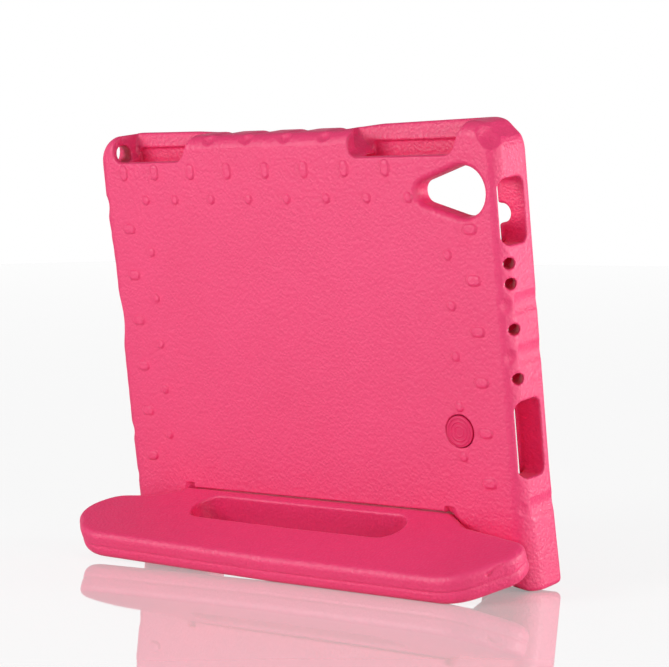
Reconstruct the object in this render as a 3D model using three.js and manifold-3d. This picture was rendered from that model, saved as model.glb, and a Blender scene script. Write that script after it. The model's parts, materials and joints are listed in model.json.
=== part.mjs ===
// Kids tablet case of moulded foam, standing in landscape with its carry handle folded out as a foot.
// Units are millimetres, +Z is up, +X is right as seen from behind, and the back of the case faces -Y.
// The case is drawn upright in its own frame (x, depth from the back face, height) and then leaned back.
// The handle is drawn about its hinge axis (x, reach away from the axis, rise above it) and then sloped.

import * as THREE from "three";
import { mergeVertices } from "three/addons/utils/BufferGeometryUtils.js";
import Module from "manifold-3d";

const wasm = await Module();
wasm.setup();

// The tablet that the case is made for, and the room round it.
const tablet_length = 240;
const tablet_width = 170;
const tablet_thickness = 7.5;
const tablet_corner_radius = 9;
const tablet_clearance = 0.5;

// Foam walls round the tablet.
const side_wall = 12.2;
const top_wall = 13.2;
const back_wall = 12;
const front_lip = 6.7;
const lip_overlap = 3.5;
const hinge_zone_height = 44.4;

// Edges and corners of the case.
const top_corner_radius = 15;
const foot_corner_radius = 8.5;
const back_edge_radius = 8;
const front_edge_radius = 4;
const leg_flare = 2;
const leg_flare_height = 58.4;
const case_lean = 7.4;

// Raised nubs on the back: a border of ovals with a row of round ones inside it.
const nub_pitch_across = 26.2;
const nub_pitch_up = 25;
const round_nub_diameter = 5.4;
const oval_nub_length = 8.6;
const nub_height = 1.1;
const nub_half_columns = 4;
const top_oval_drop = 18.5;
const top_round_drop = 33.3;
const side_oval_inset = 18.4;
const side_round_inset = 33;
const side_oval_start = 54.6;
const side_oval_count = 6;
const side_round_count = 5;
const corner_oval_inset = 18.2;
const corner_round_inset = 32.7;

// Grooves that cross the edges.
const groove_width = 10.5;
const groove_depth = 1.4;
const top_groove_count = 4;
const corner_groove_radius = 9;
const corner_groove_depth = 1.2;

// Slots in the top wall, open to the back and the top, with a slanted front face.
const slot_ramp_depth = 19;
const slot_ramp_run = 4;
const slot_ramp_height = 6;
const slot_end_radius = 5;
const slot_overlap = 0.01;
const slot_end_flare = 7.5;
const left_slot_start = -121.5;
const left_slot_end = -72.3;
const right_slot_start = 42.5;
const right_slot_end = 106;
const corner_port_back = 4.7;
const corner_port_width = 9.6;
const corner_port_height = 9;
const corner_port_radius = 4;

// Camera window, a drop shape with its narrow end toward the middle of the case.
const lens_x = 110.4;
const lens_drop = 31.1;
const lens_radius = 12.9;
const drop_tip_x = 87.3;
const drop_tip_drop = 31.2;
const drop_tip_radius = 6.8;
const window_chamfer = 2;

// Openings in the right-hand short side.
const side_cut_back = 3;
const side_cut_front = 21;
const side_cut_radius = 4.5;
const plug_cut_height = 186.9;
const plug_cut_length = 32;
const button_cut_height = 75.9;
const button_cut_length = 38;
const plug_notch_radius = 4.6;
const plug_notch_drop = 1.7;
const plug_notch_reach = 1.9;

// Small round holes bored slantwise through the back corner of each short side.
const port_hole_diameter = 5.6;
const port_hole_heights = [162.2, 152.4, 130.2, 106.1];
const speaker_hole_diameter = 6;
const speaker_pitch = 9.3;
const speaker_group_count = 4;
const speaker_group_offset = 34.6;
const hole_slant = 50;
const hole_depth = 5.1;
const hole_end_gap = 0.5;

// Charging port recess in the left-hand short side.
const charge_recess_length = 25;
const charge_recess_depth = 4.6;
const charge_cut_length = 15;
const charge_cut_width = 8;

// Hard disc let into the back.
const disc_diameter = 15.8;
const disc_thickness = 2.6;
const disc_proud = 0.3;
const disc_gap = 0.35;
const disc_stem_diameter = 5;
const disc_stem_length = 6;
const disc_ring_height = 0.35;
const disc_x = 98.2;
const disc_height = 79.6;

// Notch between the legs, with the handle's barrel in it.
const notch_half_width = 91;
const notch_height = 38;
const notch_corner_radius = 9;
const leg_inner_radius = 9;
const axis_height = 23.4;
const axis_depth = 17.5;
const barrel_radius = 10;
const barrel_end_gap = 1.6;

// Hinge pins, pressed into the legs and turning in the barrel.
const pin_diameter = 6;
const pin_in_leg = 22;
const pin_in_barrel = 20;
const pin_gap = 0.3;
const pin_end_chamfer = 1;

// Handle plate.
const handle_slope = 24;
const handle_half_width = 147.8;
const handle_thickness = 16;
const handle_top_edge = 3.5;
const handle_top_rise = 3;
const handle_bottom_edge = 5.5;
const handle_bottom_rise = 5.5;
const parting_drop = 8.5;
const tongue_corner_x = 88;
const tongue_corner_radius = 6.2;
const tongue_overlap = 2;
const shoulder_start_x = 104.5;
const shoulder_start_reach = 22.2;
const shoulder_end_inset = 1.8;
const shoulder_end_reach = 30;
const shoulder_blend_radius = 3.5;
const handle_tip_radius = 6;
const handle_side_reach = 42;
const handle_side_radius = 12;
const handle_front_inset = 24;
const handle_front_radius = 30;
const front_bow = 1.4;
const grip_slot_length = 140;
const grip_slot_width = 21.5;
const grip_slot_reach = 29.3;
const stop_gap = 0.35;
const web_drop = 0.15;
const leg_sweep_gap = 0.8;

// Facets of the curved surfaces.
const bevel_steps = 3;
const corner_steps = 6;
const round_steps = 20;
const nub_sides = 12;
const nub_rings = 2;
const cut_margin = 2;

const degrees = Math.PI / 180;
const lean = case_lean * degrees;
const slope = handle_slope * degrees;

// Sizes that follow from the ones above.
const pocket_length = tablet_length + 2 * tablet_clearance;
const pocket_width = tablet_width + 2 * tablet_clearance;
const pocket_depth = tablet_thickness + 2 * tablet_clearance;
const half_length = pocket_length / 2 + side_wall;
const case_height = hinge_zone_height + pocket_width + top_wall;
const case_thickness = back_wall + pocket_depth + front_lip;
const pocket_front = back_wall + pocket_depth;
const shoulder_end_x = handle_half_width - shoulder_end_inset;
const pocket_centre = hinge_zone_height + pocket_width / 2;
const pocket_top = hinge_zone_height + pocket_width;

const foam = { color: 0xf0437a, roughness: 0.62, metalness: 0 };
const disc_plastic = { color: 0xd62a63, roughness: 0.42, metalness: 0 };
const pin_plastic = { color: 0xe8e8e8, roughness: 0.4, metalness: 0 };

// A closed mesh as a solid that can be joined and cut, its faces turned outward.
function solidOf(geometry) {
  const bare = geometry.index ? geometry.toNonIndexed() : geometry.clone();
  bare.deleteAttribute("normal");
  bare.deleteAttribute("uv");
  const merged = mergeVertices(bare, 1e-4);
  const vertProperties = new Float32Array(merged.attributes.position.array);
  const triVerts = new Uint32Array(merged.index.array);
  const solid = new wasm.Manifold(new wasm.Mesh({ numProp: 3, vertProperties, triVerts }));
  if (solid.volume() > 0) return solid;
  triVerts.reverse();
  return new wasm.Manifold(new wasm.Mesh({ numProp: 3, vertProperties, triVerts }));
}

// A solid back to a three.js geometry.
function geometryOf(solid) {
  const mesh = solid.getMesh();
  const geometry = new THREE.BufferGeometry();
  geometry.setAttribute("position", new THREE.BufferAttribute(new Float32Array(mesh.vertProperties), 3));
  geometry.setIndex(new THREE.BufferAttribute(new Uint32Array(mesh.triVerts), 1));
  geometry.computeVertexNormals();
  return geometry;
}

function joined(solids) {
  return solids.reduce((sum, next) => sum.add(next));
}

// A block between two corners.
function block(low, high) {
  const geometry = new THREE.BoxGeometry(high[0] - low[0], high[1] - low[1], high[2] - low[2]);
  geometry.translate((low[0] + high[0]) / 2, (low[1] + high[1]) / 2, (low[2] + high[2]) / 2);
  return solidOf(geometry);
}

// A cylinder from one point to another.
function rod(from, to, radius, sides = round_steps) {
  const start = new THREE.Vector3(...from);
  const end = new THREE.Vector3(...to);
  const geometry = new THREE.CylinderGeometry(radius, radius, start.distanceTo(end), sides);
  const turn = new THREE.Quaternion();
  turn.setFromUnitVectors(new THREE.Vector3(0, 1, 0), end.clone().sub(start).normalize());
  geometry.applyQuaternion(turn);
  const middle = start.add(end).multiplyScalar(0.5);
  geometry.translate(middle.x, middle.y, middle.z);
  return solidOf(geometry);
}

// A closed outline with every corner rounded by its own radius; corners are [x, y, radius].
function roundedOutline(corners) {
  const shape = new THREE.Shape();
  const count = corners.length;
  for (let i = 0; i < count; i += 1) {
    const here = new THREE.Vector2(corners[i][0], corners[i][1]);
    const before = new THREE.Vector2(...corners[(i + count - 1) % count]);
    const after = new THREE.Vector2(...corners[(i + 1) % count]);
    const inward = before.sub(here).normalize();
    const outward = after.sub(here).normalize();
    const half_angle = Math.acos(THREE.MathUtils.clamp(inward.dot(outward), -1, 1)) / 2;
    const radius = corners[i][2];
    const run = radius / Math.tan(half_angle);
    const bisector = inward.clone().add(outward).normalize();
    const centre = bisector.multiplyScalar(radius / Math.sin(half_angle)).add(here);
    const first = inward.multiplyScalar(run).add(here);
    const last = outward.multiplyScalar(run).add(here);
    const start_angle = Math.atan2(first.y - centre.y, first.x - centre.x);
    let sweep = Math.atan2(last.y - centre.y, last.x - centre.x) - start_angle;
    sweep = Math.atan2(Math.sin(sweep), Math.cos(sweep));
    for (let k = 0; k <= corner_steps; k += 1) {
      const angle = start_angle + (sweep * k) / corner_steps;
      const x = centre.x + radius * Math.cos(angle);
      const y = centre.y + radius * Math.sin(angle);
      if (i === 0 && k === 0) shape.moveTo(x, y);
      else shape.lineTo(x, y);
    }
  }
  shape.closePath();
  return shape;
}

// An outline drawn in (x, height), made solid from one depth behind the back face to another.
function throughDepth(shape, near, far) {
  const geometry = new THREE.ExtrudeGeometry(shape, { depth: far - near, bevelEnabled: false });
  geometry.translate(0, 0, -far);
  geometry.rotateX(Math.PI / 2);
  return solidOf(geometry);
}

// The same with both rims rounded inward by the radius.
function roundedThroughDepth(shape, near, far, radius) {
  const geometry = new THREE.ExtrudeGeometry(shape, {
    depth: far - near - 2 * radius,
    bevelEnabled: true,
    bevelThickness: radius,
    bevelSize: radius,
    bevelOffset: -radius,
    bevelSegments: bevel_steps,
  });
  geometry.translate(0, 0, -far + radius);
  geometry.rotateX(Math.PI / 2);
  return solidOf(geometry);
}

// An outline drawn in (depth, height), made solid from one x to another.
function throughLength(shape, left, right) {
  const geometry = new THREE.ExtrudeGeometry(shape, { depth: right - left, bevelEnabled: false });
  geometry.rotateX(Math.PI / 2);
  geometry.rotateZ(Math.PI / 2);
  geometry.translate(left, 0, 0);
  return solidOf(geometry);
}

function rectangle(x0, y0, x1, y1, radius) {
  return roundedOutline([[x0, y0, radius], [x1, y0, radius], [x1, y1, radius], [x0, y1, radius]]);
}

// Outer outline of the case in (x, height), a little wider at the feet.
function caseOutline() {
  const foot = half_length + leg_flare;
  return roundedOutline([
    [-foot, 0, foot_corner_radius],
    [foot, 0, foot_corner_radius],
    [half_length, leg_flare_height, side_wall],
    [half_length, case_height, top_corner_radius],
    [-half_length, case_height, top_corner_radius],
    [-half_length, leg_flare_height, side_wall],
  ]);
}

// Solid foam body before anything is cut: a large rounding at the back rim and a small one in front.
function caseBody() {
  const outline = caseOutline();
  const middle = case_thickness / 2;
  const reach = half_length + leg_flare + cut_margin;
  const top = case_height + cut_margin;
  const back_half = block([-reach, -cut_margin, -cut_margin], [reach, middle, top]);
  const front_half = block([-reach, middle, -cut_margin], [reach, case_thickness + cut_margin, top]);
  const back = roundedThroughDepth(outline, 0, case_thickness, back_edge_radius).intersect(back_half);
  const front = roundedThroughDepth(outline, 0, case_thickness, front_edge_radius).intersect(front_half);
  return back.add(front);
}

// Pocket for the tablet and the window in front of it.
function tabletPocket() {
  const half = pocket_length / 2;
  const pocket = rectangle(-half, hinge_zone_height, half, pocket_top, tablet_corner_radius);
  const view = rectangle(
    -half + lip_overlap,
    hinge_zone_height + lip_overlap,
    half - lip_overlap,
    pocket_top - lip_overlap,
    tablet_corner_radius - lip_overlap,
  );
  const window = throughDepth(view, pocket_front - cut_margin, case_thickness + cut_margin);
  return throughDepth(pocket, back_wall, pocket_front).add(window);
}

// One slot in the top wall. Its ends are rounded at the bottom, and the flared end widens toward the top.
function topSlot(start, end, start_flare, end_flare) {
  const floor = pocket_top - slot_overlap;
  const top = case_height + cut_margin;
  const rise = top - floor;
  const outline = roundedOutline([
    [start, floor, slot_end_radius],
    [end, floor, slot_end_radius],
    [end + end_flare, top, rise / 8],
    [start - start_flare, top, rise / 8],
  ]);
  const ramp = new THREE.Shape([
    new THREE.Vector2(-cut_margin, floor - cut_margin),
    new THREE.Vector2(slot_ramp_depth, floor - cut_margin),
    new THREE.Vector2(slot_ramp_depth, case_height - slot_ramp_height),
    new THREE.Vector2(slot_ramp_depth + slot_ramp_run * (1 + cut_margin / slot_ramp_height), top),
    new THREE.Vector2(-cut_margin, top),
  ]);
  const wide = slot_end_flare + cut_margin;
  const notch = throughDepth(outline, -cut_margin, case_thickness + cut_margin);
  return notch.intersect(throughLength(ramp, start - wide, end + wide));
}

// Drop-shaped outline: a big circle and a small one joined by their common tangents.
function dropOutline(grow) {
  const big = new THREE.Vector2(lens_x, case_height - lens_drop);
  const small = new THREE.Vector2(drop_tip_x, case_height - drop_tip_drop);
  const big_radius = lens_radius + grow;
  const small_radius = drop_tip_radius + grow;
  const span = small.clone().sub(big);
  const heading = Math.atan2(span.y, span.x);
  const opening = Math.acos((big_radius - small_radius) / span.length());
  const shape = new THREE.Shape();
  const around_big = round_steps;
  for (let k = 0; k <= around_big; k += 1) {
    const angle = heading + opening + ((2 * Math.PI - 2 * opening) * k) / around_big;
    const x = big.x + big_radius * Math.cos(angle);
    const y = big.y + big_radius * Math.sin(angle);
    if (k === 0) shape.moveTo(x, y);
    else shape.lineTo(x, y);
  }
  for (let k = 0; k <= corner_steps; k += 1) {
    const angle = heading - opening + (2 * opening * k) / corner_steps;
    shape.lineTo(small.x + small_radius * Math.cos(angle), small.y + small_radius * Math.sin(angle));
  }
  shape.closePath();
  return shape;
}

// Camera window through the back wall, chamfered on the outside.
function cameraWindow() {
  const geometry = new THREE.ExtrudeGeometry(dropOutline(0), {
    depth: window_chamfer,
    bevelEnabled: true,
    bevelThickness: window_chamfer,
    bevelSize: window_chamfer,
    bevelOffset: 0,
    bevelSegments: bevel_steps,
  });
  geometry.rotateX(Math.PI / 2);
  return throughDepth(dropOutline(0), -cut_margin, back_wall + cut_margin).add(solidOf(geometry));
}

// Rectangular opening in the right-hand side wall.
function sideCut(height, length) {
  const low = height - length / 2;
  const outline = rectangle(side_cut_back, low, side_cut_front, low + length, side_cut_radius);
  return throughLength(outline, pocket_length / 2 - cut_margin, half_length + leg_flare + cut_margin);
}

// Hole bored slantwise through the rounded back corner into the pocket; side is 1 for right, -1 for left.
function slantHole(side, height, diameter) {
  const along = new THREE.Vector2(Math.cos(hole_slant * degrees), Math.sin(hole_slant * degrees));
  const entry_x = half_length - back_edge_radius * (1 - Math.cos(26 * degrees));
  const out = back_edge_radius;
  const far = (pocket_front - hole_end_gap - hole_depth) / along.y;
  const from = [side * (entry_x + along.x * out), hole_depth - along.y * out, height];
  const to = [side * (entry_x - along.x * far), hole_depth + along.y * far, height];
  return rod(from, to, diameter / 2, nub_sides);
}

// Heights of the speaker holes, two groups either side of the charging port.
function speakerHeights() {
  const heights = [];
  for (const way of [-1, 1]) {
    for (let k = 0; k < speaker_group_count; k += 1) {
      const place = (k - (speaker_group_count - 1) / 2) * speaker_pitch;
      heights.push(pocket_centre + way * speaker_group_offset + place);
    }
  }
  return heights;
}

// Radius of the cutter that leaves a groove of the stated width and depth in a flat face.
const groove_radius = (groove_width * groove_width / 4 + groove_depth * groove_depth) / (2 * groove_depth);

// Groove across the side wall, with a scoop where it runs out over the back corner.
function sideGroove(side, height) {
  const wall = half_length + leg_flare * Math.max(0, 1 - height / leg_flare_height);
  const x = side * (wall - groove_depth + groove_radius);
  const near = [x, back_edge_radius, height];
  const far = [x, case_thickness + cut_margin, height];
  const channel = rod(near, far, groove_radius, 2 * round_steps);
  const scoop = new THREE.SphereGeometry(groove_width / 2 + groove_depth, nub_sides, nub_sides / 2);
  const corner = back_edge_radius * (1 - Math.SQRT1_2);
  const outward = groove_width / 2 * Math.SQRT1_2;
  scoop.translate(side * (wall - corner + outward), corner - outward, height);
  return channel.add(solidOf(scoop));
}

// Groove across the top wall.
function topGroove(x) {
  const z = case_height - groove_depth + groove_radius;
  const near = [x, back_edge_radius, z];
  const far = [x, case_thickness + cut_margin, z];
  const channel = rod(near, far, groove_radius, 2 * round_steps);
  const scoop = new THREE.SphereGeometry(groove_width / 2 + groove_depth, nub_sides, nub_sides / 2);
  const corner = back_edge_radius * (1 - Math.SQRT1_2);
  const outward = groove_width / 2 * Math.SQRT1_2;
  scoop.translate(x, corner - outward, case_height - corner + outward);
  return channel.add(solidOf(scoop));
}

// Wide groove over the top right corner, running straight through the thickness.
function cornerGroove() {
  const inset = top_corner_radius * (1 - Math.SQRT1_2);
  const out = (corner_groove_radius - corner_groove_depth) * Math.SQRT1_2;
  const x = half_length - inset + out;
  const z = case_height - inset + out;
  return rod([x, -cut_margin, z], [x, case_thickness + cut_margin, z], corner_groove_radius);
}

// Recess and opening for the charging plug in the left-hand side.
function chargePort() {
  const radius = (charge_recess_length ** 2 / 4 + charge_recess_depth ** 2) / (2 * charge_recess_depth);
  const x = -half_length + charge_recess_depth - radius;
  const near = [x, -cut_margin, pocket_centre];
  const far = [x, case_thickness + cut_margin, pocket_centre];
  const recess = rod(near, far, radius, 4 * round_steps);
  const middle = back_wall + pocket_depth / 2;
  const opening = rectangle(
    middle - charge_cut_width / 2,
    pocket_centre - charge_cut_length / 2,
    middle + charge_cut_width / 2,
    pocket_centre + charge_cut_length / 2,
    charge_cut_width / 3,
  );
  return recess.add(throughLength(opening, -half_length - cut_margin, -pocket_length / 2 + cut_margin));
}

// A shallow dome standing on the back face, oval when its two sizes differ.
function nub(x, height, across, up) {
  const cap = new THREE.SphereGeometry(1, nub_sides, 2 * nub_rings);
  cap.rotateX(Math.PI / 2);
  cap.scale(across / 2, nub_height, up / 2);
  cap.translate(x, 0, height);
  return solidOf(cap);
}

function allNubs() {
  const nubs = [];
  const oval_row = case_height - top_oval_drop;
  const round_row = case_height - top_round_drop;
  const left_corner = -half_length + corner_oval_inset;
  for (let k = -nub_half_columns; k < nub_half_columns - 1; k += 1) {
    nubs.push(nub((k + 0.5) * nub_pitch_across, oval_row, round_nub_diameter, oval_nub_length));
    nubs.push(nub((k + 1) * nub_pitch_across, round_row, round_nub_diameter, round_nub_diameter));
  }
  nubs.push(nub(left_corner, oval_row, round_nub_diameter, oval_nub_length));
  nubs.push(nub(-half_length + corner_round_inset, round_row, round_nub_diameter, round_nub_diameter));
  for (const side of [-1, 1]) {
    for (let k = 0; k < side_oval_count; k += 1) {
      const height = side_oval_start + k * nub_pitch_up;
      nubs.push(nub(side * (half_length - side_oval_inset), height, oval_nub_length, round_nub_diameter));
    }
    for (let k = 0; k < side_round_count; k += 1) {
      const height = side_oval_start + (k + 0.5) * nub_pitch_up;
      nubs.push(nub(side * (half_length - side_round_inset), height, round_nub_diameter, round_nub_diameter));
    }
  }
  return joined(nubs);
}

// Notch between the legs. Its ceiling is flat and the legs are rounded toward it at the floor.
function hingeNotch() {
  const half = notch_half_width;
  const mouth = half + leg_inner_radius + cut_margin;
  const outline = roundedOutline([
    [-mouth, -cut_margin, cut_margin / 4],
    [mouth, -cut_margin, cut_margin / 4],
    [mouth, 0, cut_margin / 4],
    [half, 0, leg_inner_radius],
    [half, notch_height, notch_corner_radius],
    [-half, notch_height, notch_corner_radius],
    [-half, 0, leg_inner_radius],
    [-mouth, 0, cut_margin / 4],
  ]);
  return throughDepth(outline, -cut_margin, case_thickness + cut_margin);
}

// Reach of the handle's inner edge from the hinge axis, at a distance x from the middle of the case.
function shoulderReach(x) {
  const rise = (shoulder_end_reach - shoulder_start_reach) / (shoulder_end_x - shoulder_start_x);
  return shoulder_start_reach + (x - shoulder_start_x) * rise;
}

// Where the handle's top face leaves the case, seen from the axis: on the back face, just under the notch.
const stop_back = axis_depth;
const stop_up = notch_height - stop_gap - axis_height;
const slope_to_case = slope - lean;
const stop_reach = stop_back * Math.cos(slope_to_case) - stop_up * Math.sin(slope_to_case);
const plate_rise = stop_back * Math.sin(slope_to_case) + stop_up * Math.cos(slope_to_case);

// Height that the leaned case is lowered by, so that its rounded back lower edge touches the floor.
const case_drop = back_edge_radius * (Math.sin(lean) + Math.cos(lean) - 1);
const axis_world_y = axis_depth * Math.cos(lean) - axis_height * Math.sin(lean);
const axis_world_z = axis_depth * Math.sin(lean) + axis_height * Math.cos(lean) - case_drop;

// Reach of the plate from the axis at which its rounded lower front edge meets the floor.
const edge_below = Math.hypot(handle_bottom_edge * Math.sin(slope), handle_bottom_rise * Math.cos(slope));
const edge_centre_z = axis_world_z + (plate_rise - handle_thickness + handle_bottom_rise) * Math.cos(slope);
const handle_reach = handle_bottom_edge + (edge_centre_z - edge_below) / Math.sin(slope) - front_bow / 2;

// Room that the handle's shoulders sweep past the back lower edge of each leg, turned about the axis.
function legRelief(side) {
  const inner = tongue_corner_x;
  const outer = half_length + leg_flare + cut_margin;
  const limit = 3 * axis_height;
  const profile = [
    new THREE.Vector2(stop_reach - tongue_overlap - leg_sweep_gap, inner),
    new THREE.Vector2(shoulder_start_reach - leg_sweep_gap, shoulder_start_x),
    new THREE.Vector2(shoulderReach(outer) - leg_sweep_gap, outer),
    new THREE.Vector2(limit, outer),
    new THREE.Vector2(limit, inner),
    new THREE.Vector2(stop_reach - tongue_overlap - leg_sweep_gap, inner),
  ];
  const ring = new THREE.LatheGeometry(profile, 4 * round_steps);
  ring.rotateZ(-Math.PI / 2);
  if (side < 0) ring.rotateY(Math.PI);
  ring.translate(0, axis_depth, axis_height);
  const x0 = Math.min(side * inner, side * outer) - cut_margin;
  const x1 = Math.max(side * inner, side * outer) + cut_margin;
  const lower_back = block([x0, -limit, -limit], [x1, axis_depth, axis_height + barrel_radius]);
  return solidOf(ring).intersect(lower_back);
}

// Bore for one hinge pin, from inside the leg to inside the barrel.
function pinBore(side) {
  const far = notch_half_width + pin_in_leg + pin_gap;
  const near = notch_half_width - barrel_end_gap - pin_in_barrel - pin_gap;
  return [side * near, side * far];
}

function caseShell() {
  const slots = [
    topSlot(left_slot_start, left_slot_end, 0, slot_end_flare),
    topSlot(right_slot_start, right_slot_end, 0, slot_end_flare),
  ];
  const port_floor = pocket_top - slot_overlap;
  const port_outline = rectangle(
    corner_port_back,
    port_floor,
    corner_port_back + corner_port_width,
    port_floor + corner_port_height,
    corner_port_radius,
  );
  const port_end = left_slot_start + slot_end_radius;
  const corner_port = throughLength(port_outline, -half_length - cut_margin, port_end);
  const plug_notch_z = plug_cut_height - plug_notch_drop;
  const plug_notch = rod(
    [pocket_length / 2 - plug_notch_reach, pocket_front - cut_margin, plug_notch_z],
    [pocket_length / 2 - plug_notch_reach, case_thickness + cut_margin, plug_notch_z],
    plug_notch_radius,
  );
  const right_holes = port_hole_heights.map((height) => slantHole(1, height, port_hole_diameter));
  const left_holes = speakerHeights().map((height) => slantHole(-1, height, speaker_hole_diameter));
  const grooves = [cornerGroove()];
  for (let k = 0; k < top_groove_count; k += 1) grooves.push(topGroove((k - 2) * nub_pitch_across));
  const round_top = side_oval_start + (side_round_count - 0.5) * nub_pitch_up;
  for (const step of [1, 2, 5]) grooves.push(sideGroove(1, round_top - step * nub_pitch_up));
  for (const step of [-1, 4, 5]) grooves.push(sideGroove(-1, round_top - step * nub_pitch_up));
  const disc_seat = rod(
    [disc_x, -cut_margin, disc_height],
    [disc_x, disc_thickness - disc_proud + disc_gap, disc_height],
    disc_diameter / 2 + disc_gap,
    2 * round_steps,
  );
  const stem_seat = rod(
    [disc_x, 0, disc_height],
    [disc_x, disc_thickness - disc_proud + disc_stem_length + disc_gap, disc_height],
    disc_stem_diameter / 2 + disc_gap,
    nub_sides,
  );
  const bores = [-1, 1].map((side) => {
    const ends = pinBore(side);
    const [from, to] = ends.map((x) => [x, axis_depth, axis_height]);
    return rod(from, to, pin_diameter / 2 + pin_gap);
  });
  const cuts = joined([
    tabletPocket(),
    ...slots,
    corner_port,
    cameraWindow(),
    sideCut(plug_cut_height, plug_cut_length),
    sideCut(button_cut_height, button_cut_length),
    plug_notch,
    ...right_holes,
    ...left_holes,
    ...grooves,
    chargePort(),
    hingeNotch(),
    legRelief(-1),
    legRelief(1),
    disc_seat,
    stem_seat,
    ...bores,
  ]);
  return caseBody().add(allNubs()).subtract(cuts);
}

// Hard disc with a stem, turned about the depth: raised rings on its face and the stem behind it.
function backDisc() {
  const radius = disc_diameter / 2;
  const face = -disc_proud;
  const seat = disc_thickness - disc_proud;
  const step = radius / 6;
  const profile = [[0, face]];
  for (const ring of [2, 3.6, 5.1]) {
    profile.push([(ring - 0.35) * step, face]);
    profile.push([(ring - 0.15) * step, face - disc_ring_height]);
    profile.push([(ring + 0.15) * step, face - disc_ring_height]);
    profile.push([(ring + 0.35) * step, face]);
  }
  profile.push([radius - disc_ring_height, face], [radius, face + disc_ring_height], [radius, seat]);
  profile.push([disc_stem_diameter / 2, seat], [disc_stem_diameter / 2, seat + disc_stem_length]);
  profile.push([0, seat + disc_stem_length]);
  const points = profile.map(([r, y]) => new THREE.Vector2(r, y));
  return geometryOf(solidOf(new THREE.LatheGeometry(points, 2 * round_steps)));
}

// Hinge pin, turned, with chamfered ends.
function hingePin() {
  const radius = pin_diameter / 2;
  const length = pin_in_leg + barrel_end_gap + pin_in_barrel;
  const profile = [
    [0, 0],
    [radius - pin_end_chamfer, 0],
    [radius, pin_end_chamfer],
    [radius, length - pin_end_chamfer],
    [radius - pin_end_chamfer, length],
    [0, length],
  ];
  const pin = new THREE.LatheGeometry(profile.map(([r, y]) => new THREE.Vector2(r, y)), round_steps);
  pin.rotateZ(-Math.PI / 2);
  return geometryOf(solidOf(pin));
}

// Plan of the plate in (x, reach from the axis): tongue, slanted shoulders, round tips and a bowed front.
// Reach runs toward -Y, away from the case.
function platePlan() {
  const half = [
    [tongue_corner_x, stop_reach - tongue_overlap, tongue_corner_radius],
    [shoulder_start_x, shoulder_start_reach, shoulder_blend_radius],
    [shoulder_end_x, shoulder_end_reach, handle_tip_radius],
    [handle_half_width, handle_side_reach, handle_side_radius],
    [handle_half_width - handle_front_inset, handle_reach - front_bow / 2, handle_front_radius],
  ];
  const middle = [0, handle_reach + front_bow / 2, 4 * handle_reach];
  const mirrored = half.map(([x, reach, radius]) => [-x, reach, radius]).reverse();
  return roundedOutline([...half, middle, ...mirrored].map(([x, reach, radius]) => [x, -reach, radius]));
}

// The plan made solid between two rises, with both rims rounded.
function plateLayer(plan, low, high, inset, rise) {
  const geometry = new THREE.ExtrudeGeometry(plan, {
    depth: high - low - 2 * rise,
    bevelEnabled: true,
    bevelThickness: rise,
    bevelSize: inset,
    bevelOffset: -inset,
    bevelSegments: bevel_steps,
  });
  geometry.translate(0, 0, low + rise);
  return solidOf(geometry);
}

// The rounded corners of the notch's ceiling as solids in the handle's frame, grown by the stop gap.
function notchFillets() {
  const radius = notch_corner_radius - stop_gap;
  const centre_x = notch_half_width - notch_corner_radius;
  const centre_z = notch_height - notch_corner_radius;
  return [-1, 1].map((side) => {
    const low_x = Math.min(side * centre_x, side * (notch_half_width + cut_margin));
    const high_x = Math.max(side * centre_x, side * (notch_half_width + cut_margin));
    const high_z = notch_height + 4 * cut_margin;
    const corner = block([low_x, -cut_margin / 4, centre_z], [high_x, case_thickness, high_z]);
    const hollow = rod(
      [side * centre_x, -cut_margin, centre_z],
      [side * centre_x, case_thickness + cut_margin, centre_z],
      radius,
      4 * corner_steps,
    );
    const fillet = geometryOf(corner.subtract(hollow));
    fillet.translate(0, -axis_depth, -axis_height);
    fillet.rotateX(lean - slope);
    return solidOf(fillet);
  });
}

function standHandle() {
  const plan = platePlan();
  const top = plate_rise;
  const bottom = plate_rise - handle_thickness;
  const parting = plate_rise - parting_drop;
  const wide = handle_half_width + cut_margin;
  const long = handle_reach + 2 * cut_margin + front_bow;
  const upper_room = block([-wide, -long, parting], [wide, long, top + cut_margin]);
  const lower_room = block([-wide, -long, bottom - cut_margin], [wide, long, parting]);
  const upper = plateLayer(plan, bottom, top, handle_top_edge, handle_top_rise).intersect(upper_room);
  const lower = plateLayer(plan, bottom, top, handle_bottom_edge, handle_bottom_rise).intersect(lower_room);
  const half_tongue = notch_half_width - barrel_end_gap;
  const barrel = rod([-half_tongue, 0, 0], [half_tongue, 0, 0], barrel_radius, 2 * round_steps);
  const web_end = stop_reach + grip_slot_width;
  const web_angle = Math.atan2(bottom + barrel_radius, web_end);
  const web = new THREE.Shape([
    new THREE.Vector2(0, barrel_radius),
    new THREE.Vector2(-stop_reach, plate_rise - web_drop),
    new THREE.Vector2(-web_end, plate_rise - handle_top_rise),
    new THREE.Vector2(-web_end, bottom),
    new THREE.Vector2(-barrel_radius * Math.sin(web_angle), -barrel_radius * Math.cos(web_angle)),
  ]);
  const tongue = barrel.add(throughLength(web, -half_tongue, half_tongue));
  const grip = rectangle(
    -grip_slot_length / 2,
    -grip_slot_reach - grip_slot_width / 2,
    grip_slot_length / 2,
    -grip_slot_reach + grip_slot_width / 2,
    grip_slot_width / 2.05,
  );
  const slot = new THREE.ExtrudeGeometry(grip, { depth: 4 * barrel_radius, bevelEnabled: false });
  slot.translate(0, 0, -2 * barrel_radius);
  const bores = [-1, 1].map((side) => {
    const ends = pinBore(side);
    return rod([ends[0], 0, 0], [ends[1], 0, 0], pin_diameter / 2 + pin_gap);
  });
  return joined([upper, lower, tongue]).subtract(joined([solidOf(slot), ...bores, ...notchFillets()]));
}

function piece(name, geometry, finish) {
  const mesh = new THREE.Mesh(geometry, new THREE.MeshStandardMaterial(finish));
  mesh.name = name;
  return mesh;
}

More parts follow.
